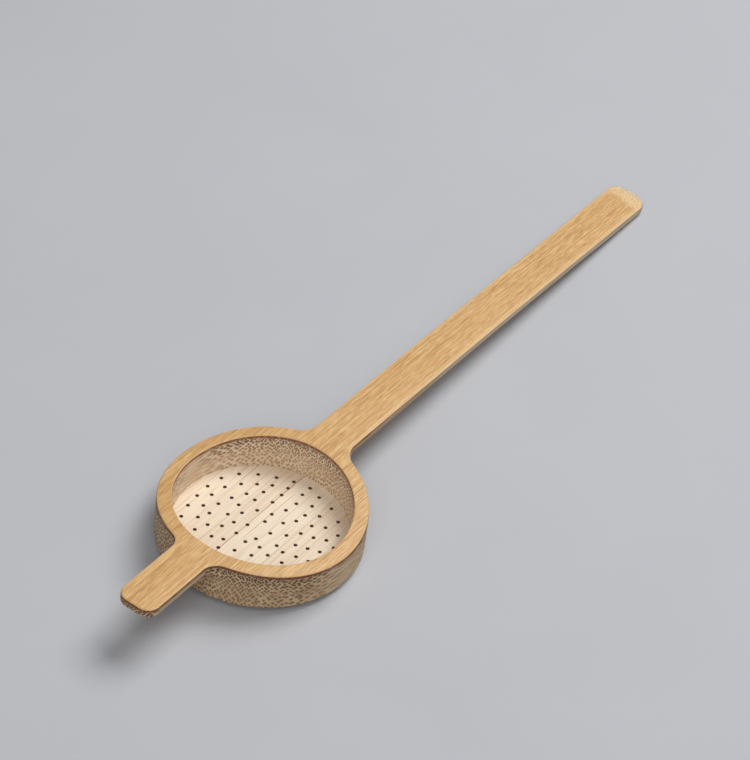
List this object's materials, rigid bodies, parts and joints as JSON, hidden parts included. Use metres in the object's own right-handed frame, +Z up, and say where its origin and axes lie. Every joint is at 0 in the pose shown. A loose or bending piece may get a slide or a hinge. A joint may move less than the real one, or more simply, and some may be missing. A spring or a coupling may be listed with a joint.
{
  "type": "tea strainer",
  "caption": "Carved bamboo tea strainer: a shallow ring with a long flat handle, a short resting lug opposite it, and a pale drilled sieve let into its foot.",
  "frame": {"origin": "centre of the ring at its foot, on the underside of the sieve", "axes": "+X along the handle to its tip, with the lug along -X, and +Z up through the ring's open top"},
  "size_m": [0.25, 0.06, 0.014],
  "materials": {
    "body_bamboo": "carved bamboo, oiled to a satin, caramel on top and paler with brown fibre dots on its cut walls",
    "sieve_bamboo": "pale bamboo board with fine straight fibres, sanded and left matt"
  },
  "bodies": {
    "root": {"body": "body_bamboo", "sieve_strip_1": "sieve_bamboo", "sieve_strip_2": "sieve_bamboo", "sieve_strip_3": "sieve_bamboo", "sieve_strip_4": "sieve_bamboo", "sieve_strip_5": "sieve_bamboo", "sieve_strip_6": "sieve_bamboo", "sieve_strip_7": "sieve_bamboo", "sieve_strip_8": "sieve_bamboo", "sieve_strip_9": "sieve_bamboo"}
  },
  "joints": []
}
